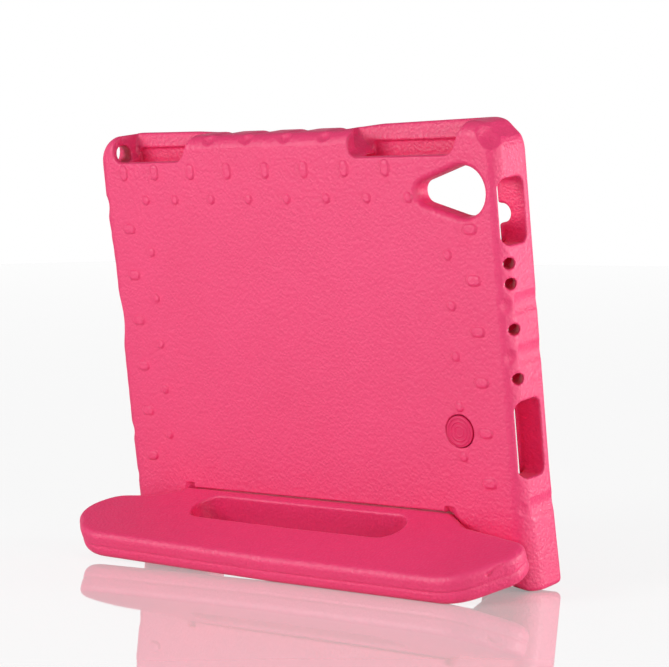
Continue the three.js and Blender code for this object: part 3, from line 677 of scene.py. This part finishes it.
def foam_object(name, solid, angle, origin, flip, most_faces):
    """Meshes a solid, thins its flat areas and gives it the field's own normals."""
    vertices, faces = solid.surface()
    mesh = bpy.data.meshes.new(name)
    mesh.from_pydata(vertices.tolist(), [], faces.tolist())
    mesh.update()
    thing = bpy.data.objects.new(name, mesh)
    bpy.context.scene.collection.objects.link(thing)
    triangles = 2 * len(faces)
    if triangles > most_faces:
        thinner = thing.modifiers.new("thinner", "DECIMATE")
        thinner.ratio = most_faces / triangles
        graph = bpy.context.evaluated_depsgraph_get()
        thinned = bpy.data.meshes.new_from_object(thing.evaluated_get(graph))
        thing.modifiers.clear()
        thing.data = thinned
        bpy.data.meshes.remove(mesh)
        mesh = thinned
    split_long_edges(mesh, not flip)
    place = np.zeros(3 * len(mesh.vertices))
    mesh.vertices.foreach_get("co", place)
    place = place.reshape(-1, 3)
    slope = solid.sample(place)[1]
    slope /= np.maximum(np.linalg.norm(slope, axis=1), 1e-9)[:, None]
    if flip:
        place, slope = place * [1, -1, 1], slope * [1, -1, 1]
        mesh.flip_normals()
    else:
        flat_back = (np.abs(place[:, 1]) < 0.15) & (slope[:, 1] < -0.5)
        slope[flat_back] = (0, -1, 0)
    mesh.vertices.foreach_set("co", placed(place, angle, origin).ravel())
    mesh.shade_smooth()
    mesh.update()
    mesh.normals_split_custom_set_from_vertices(turned_normals(slope, angle).tolist())
    return thing


# Materials


def add(tree, kind, **values):
    """New node, with its properties and the inputs that bear the given names set."""
    node = tree.nodes.new(kind)
    for key, value in values.items():
        if hasattr(node, key):
            setattr(node, key, value)
        else:
            node.inputs[key.replace("_", " ")].default_value = value
    return node


def foam_skin():
    """Moulded foam skin: the height of its fine closed pores and wrinkles, and slow changes of tone."""
    group = bpy.data.node_groups.new("foam_skin", "ShaderNodeTree")
    for label in ("Height", "Tone"):
        group.interface.new_socket(name=label, in_out="OUTPUT", socket_type="NodeSocketFloat")
    result = add(group, "NodeGroupOutput")
    link = group.links.new
    coords = add(group, "ShaderNodeTexCoord")
    bend = add(group, "ShaderNodeTexNoise", Scale=240.0, Detail=2.0)
    link(coords.outputs["Object"], bend.inputs["Vector"])
    shift = add(group, "ShaderNodeVectorMath", operation="MULTIPLY_ADD")
    shift.inputs[1].default_value = (0.0022, 0.0022, 0.0022)
    link(bend.outputs["Color"], shift.inputs[0])
    link(coords.outputs["Object"], shift.inputs[2])
    pores = add(group, "ShaderNodeTexVoronoi", feature="SMOOTH_F1", Scale=620.0, Smoothness=0.6)
    link(shift.outputs[0], pores.inputs["Vector"])
    fine = add(group, "ShaderNodeTexNoise", Scale=1500.0, Detail=3.0)
    link(coords.outputs["Object"], fine.inputs["Vector"])
    mixed = add(group, "ShaderNodeMath", operation="MULTIPLY_ADD")
    mixed.inputs[1].default_value = 0.45
    link(fine.outputs["Fac"], mixed.inputs[0])
    link(pores.outputs["Distance"], mixed.inputs[2])
    link(mixed.outputs[0], result.inputs["Height"])
    slow = add(group, "ShaderNodeTexNoise", Scale=16.0, Detail=4.0, Roughness=0.6)
    link(coords.outputs["Object"], slow.inputs["Vector"])
    link(slow.outputs["Fac"], result.inputs["Tone"])
    return group


SKIN = foam_skin()


def new_material(name):
    """Empty material, its tree, its link function and its output node."""
    material = bpy.data.materials.new(name)
    material.use_nodes = True
    tree = material.node_tree
    tree.nodes.clear()
    return material, tree, tree.links.new, add(tree, "ShaderNodeOutputMaterial")


def foam_material(name, pale, deep, grain, rough):
    material, tree, link, output = new_material(name)
    shader = add(tree, "ShaderNodeBsdfPrincipled")
    shader.inputs["Specular IOR Level"].default_value = 1.0
    shader.inputs["Sheen Weight"].default_value = 0.06
    shader.inputs["Sheen Roughness"].default_value = 0.5
    shader.inputs["Sheen Tint"].default_value = (1.0, 0.75, 0.85, 1.0)
    link(shader.outputs[0], output.inputs["Surface"])
    skin = add(tree, "ShaderNodeGroup")
    skin.node_tree = SKIN
    tone = add(tree, "ShaderNodeMapRange", From_Min=0.3, From_Max=0.7)
    link(skin.outputs["Tone"], tone.inputs["Value"])
    colour = add(tree, "ShaderNodeMix", data_type="RGBA")
    colour.inputs[6].default_value = (*deep, 1)
    colour.inputs[7].default_value = (*pale, 1)
    link(tone.outputs[0], colour.inputs["Factor"])
    link(colour.outputs[2], shader.inputs["Base Color"])
    spread = {"To_Min": rough - 0.06, "To_Max": rough + 0.06}
    roughness = add(tree, "ShaderNodeMapRange", From_Min=0.2, From_Max=0.9, **spread)
    link(skin.outputs["Height"], roughness.inputs["Value"])
    link(roughness.outputs[0], shader.inputs["Roughness"])
    bump = add(tree, "ShaderNodeBump", Strength=1.0, Distance=grain)
    link(skin.outputs["Height"], bump.inputs["Height"])
    link(bump.outputs[0], shader.inputs["Normal"])
    return material


def plastic_material(name, base, rough, grain):
    material, tree, link, output = new_material(name)
    shader = add(tree, "ShaderNodeBsdfPrincipled")
    link(shader.outputs[0], output.inputs["Surface"])
    coords = add(tree, "ShaderNodeTexCoord")
    cloud = add(tree, "ShaderNodeTexNoise", Scale=900.0, Detail=4.0)
    link(coords.outputs["Object"], cloud.inputs["Vector"])
    colour = add(tree, "ShaderNodeMix", data_type="RGBA")
    colour.inputs[6].default_value = (*[0.93 * value for value in base], 1)
    colour.inputs[7].default_value = (*base, 1)
    link(cloud.outputs["Fac"], colour.inputs["Factor"])
    link(colour.outputs[2], shader.inputs["Base Color"])
    roughness = add(tree, "ShaderNodeMapRange", To_Min=rough - 0.06, To_Max=rough + 0.06)
    link(cloud.outputs["Fac"], roughness.inputs["Value"])
    link(roughness.outputs[0], shader.inputs["Roughness"])
    bump = add(tree, "ShaderNodeBump", Strength=0.5, Distance=grain)
    link(cloud.outputs["Fac"], bump.inputs["Height"])
    link(bump.outputs[0], shader.inputs["Normal"])
    return material


FOAM = foam_material("pink_foam", (0.88, 0.020, 0.160), (0.85, 0.016, 0.145), 0.00025, 0.52)
DISC = plastic_material("pink_plastic", (0.76, 0.014, 0.12), 0.5, 0.00004)
PIN = plastic_material("pale_plastic", (0.75, 0.75, 0.75), 0.4, 0.00003)


def finish_with(thing, material):
    thing.data.materials.clear()
    thing.data.materials.append(material)


case_shell = foam_object("case_foam", case_solid(), LEAN, case_origin, False, 112000)
finish_with(case_shell, FOAM)
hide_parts("case_shell")
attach(case_shell, "case")

handle = foam_object("handle_foam", handle_solid(), SLOPE, axis_place, True, 90000)
finish_with(handle, FOAM)
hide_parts("stand_handle")
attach(handle, "handle")


def disc_profile():
    """Outline of the turned disc in (radius, depth): a slightly dished face with fine raised rings."""
    points = []
    for k in range(61):
        radius = DISC_RADIUS * k / 60
        face = -0.3 + 0.12 * (1 - (radius / DISC_RADIUS) ** 2)
        for ring in (2.6, 4.8, 6.7):
            face -= 0.32 * math.exp(-((radius - ring) / 0.32) ** 2)
        if k == 60:
            face += 0.35
        points.append((radius, face))
    return points + [(DISC_RADIUS, 2.3), (STEM_RADIUS, 2.3), (STEM_RADIUS, 8.3), (0.0, 8.3)]


def turned(name, profile, sides):
    """Spins an outline given in (radius, depth) about the depth axis; both of its ends lie on that axis."""
    count = len(profile)
    vertices = [(0.0, profile[0][1], 0.0), (0.0, profile[-1][1], 0.0)]
    for radius, depth in profile[1:-1]:
        for k in range(sides):
            angle = 2 * math.pi * k / sides
            vertices.append((radius * math.cos(angle), depth, radius * math.sin(angle)))
    faces = []
    for k in range(sides):
        after = (k + 1) % sides
        faces.append((0, 2 + k, 2 + after))
        for row in range(count - 3):
            low, high = 2 + row * sides, 2 + (row + 1) * sides
            faces.append((low + k, high + k, high + after, low + after))
        last = 2 + (count - 3) * sides
        faces.append((1, last + after, last + k))
    mesh = bpy.data.meshes.new(name)
    mesh.from_pydata(vertices, [], faces)
    mesh.update()
    thing = bpy.data.objects.new(name, mesh)
    bpy.context.scene.collection.objects.link(thing)
    return thing


disc = turned("turned_disc", disc_profile(), 96)
place = np.zeros(3 * len(disc.data.vertices))
disc.data.vertices.foreach_get("co", place)
place = place.reshape(-1, 3) + [DISC_X, 0, DISC_HEIGHT]
disc.data.vertices.foreach_set("co", placed(place, LEAN, case_origin).ravel())
disc.data.shade_smooth()
disc.data.update()
finish_with(disc, DISC)
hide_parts("back_disc")
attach(disc, "case")

for name in ("hinge_pin_left", "hinge_pin_right"):
    finish_with(frame["nodes"][name], PIN)


# Floor, light and camera


def floor_material():
    """White gloss: half of what the camera sees is plain white, and a share of it is a clear mirror."""
    material, tree, link, output = new_material("glossy_floor")
    shader = add(tree, "ShaderNodeBsdfPrincipled")
    shader.inputs["Base Color"].default_value = (0.95, 0.94, 0.945, 1)
    shader.inputs["Roughness"].default_value = 0.03
    white = add(tree, "ShaderNodeEmission", Strength=1.0)
    rays = add(tree, "ShaderNodeLightPath")
    share = add(tree, "ShaderNodeMath", operation="MULTIPLY")
    share.inputs[1].default_value = 0.5
    link(rays.outputs["Is Camera Ray"], share.inputs[0])
    mixed = add(tree, "ShaderNodeMixShader")
    link(share.outputs[0], mixed.inputs[0])
    link(shader.outputs[0], mixed.inputs[1])
    link(white.outputs[0], mixed.inputs[2])
    gloss = add(tree, "ShaderNodeBsdfGlossy", Color=(1.0, 1.0, 1.0, 1.0), Roughness=0.03)
    laid = add(tree, "ShaderNodeMixShader")
    laid.inputs[0].default_value = 0.42
    link(mixed.outputs[0], laid.inputs[1])
    link(gloss.outputs[0], laid.inputs[2])
    link(laid.outputs[0], output.inputs["Surface"])
    return material


FLOOR_REACH = 6.0
floor_mesh = bpy.data.meshes.new("floor")
floor_corners = [(FLOOR_REACH * a, FLOOR_REACH * b, 0) for a, b in ((-1, -1), (1, -1), (1, 1), (-1, 1))]
floor_mesh.from_pydata(floor_corners, [], [(0, 1, 2, 3)])
floor = bpy.data.objects.new("floor", floor_mesh)
bpy.context.scene.collection.objects.link(floor)
finish_with(floor, floor_material())


def area_light(name, place, target, size, power):
    data = bpy.data.lights.new(name, "AREA")
    data.shape = "RECTANGLE"
    data.size, data.size_y = size
    data.energy = power
    lamp = bpy.data.objects.new(name, data)
    lamp.location = place
    lamp.rotation_euler = (Vector(target) - Vector(place)).to_track_quat("-Z", "Y").to_euler()
    bpy.context.scene.collection.objects.link(lamp)


area_light("side", (1.6, 1.0, 0.35), (0.1, 0, 0.12), (0.5, 0.5), 19)
area_light("right", (1.75, -0.6, 0.4), (0, 0, 0.12), (0.4, 0.5), 9)
area_light("front", (-0.8, -1.8, 0.75), (0, 0, 0.12), (1.0, 0.8), 25)
area_light("top", (-0.2, -0.1, 2.2), (0, 0, 0), (1.6, 1.6), 4)



def studio_world():
    """Even soft light on the part, and a white backdrop low behind it that fades upwards and to the sides."""
    world = bpy.data.worlds.new("studio")
    bpy.context.scene.world = world
    world.use_nodes = True
    tree = world.node_tree
    tree.nodes.clear()
    link = tree.links.new
    rays = add(tree, "ShaderNodeLightPath")
    seen = add(tree, "ShaderNodeMath", operation="MAXIMUM")
    link(rays.outputs["Is Camera Ray"], seen.inputs[0])
    link(rays.outputs["Is Glossy Ray"], seen.inputs[1])
    aim = add(tree, "ShaderNodeTexCoord")
    parts = add(tree, "ShaderNodeSeparateXYZ")
    link(aim.outputs["Generated"], parts.inputs[0])
    height = add(tree, "ShaderNodeMapRange", From_Min=0.22, From_Max=0.5, To_Min=1.0, To_Max=0.04)
    link(parts.outputs["Z"], height.inputs["Value"])
    toward = add(tree, "ShaderNodeVectorMath", operation="DOT_PRODUCT")
    toward.inputs[1].default_value = (-0.64, 0.77, 0.0)
    link(aim.outputs["Generated"], toward.inputs[0])
    sector = add(tree, "ShaderNodeMapRange", From_Min=0.4, From_Max=0.85, To_Min=0.3, To_Max=1.0)
    link(toward.outputs["Value"], sector.inputs["Value"])
    bright = add(tree, "ShaderNodeMath", operation="MULTIPLY")
    link(height.outputs[0], bright.inputs[0])
    link(sector.outputs[0], bright.inputs[1])
    backdrop = add(tree, "ShaderNodeBackground", Color=(1, 1, 1, 1))
    link(bright.outputs[0], backdrop.inputs["Strength"])
    ambient = add(tree, "ShaderNodeBackground", Color=(1, 1, 1, 1), Strength=0.26)
    chosen = add(tree, "ShaderNodeMixShader")
    sky = add(tree, "ShaderNodeOutputWorld")
    link(seen.outputs[0], chosen.inputs[0])
    link(ambient.outputs[0], chosen.inputs[1])
    link(backdrop.outputs[0], chosen.inputs[2])
    link(chosen.outputs[0], sky.inputs[0])


studio_world()

camera_data = bpy.data.cameras.new("photo_view")
camera_data.sensor_width = SENSOR_WIDTH
camera_data.lens = FOCAL_PIXELS / VIEW_WIDTH * SENSOR_WIDTH
camera_data.shift_x = (VIEW_WIDTH / 2 - CENTRE_PIXEL[0]) / VIEW_WIDTH
camera_data.shift_y = (CENTRE_PIXEL[1] - VIEW_HEIGHT / 2) / VIEW_WIDTH
camera_data.clip_start = 0.05
camera_data.clip_end = 50
camera = bpy.data.objects.new("photo_view", camera_data)
bpy.context.scene.collection.objects.link(camera)
right, up = Vector(CAMERA_RIGHT).normalized(), Vector(CAMERA_UP).normalized()
back = right.cross(up).normalized()
up = back.cross(right)
turn = Matrix((right, up, back)).transposed().to_4x4()
place = Vector(CAMERA_PLACE) + Vector((0, case_origin.y, case_origin.z))
camera.matrix_world = Matrix.Translation(place / 1000) @ turn
bpy.context.scene.camera = camera
bpy.context.scene.view_settings.view_transform = "Standard"
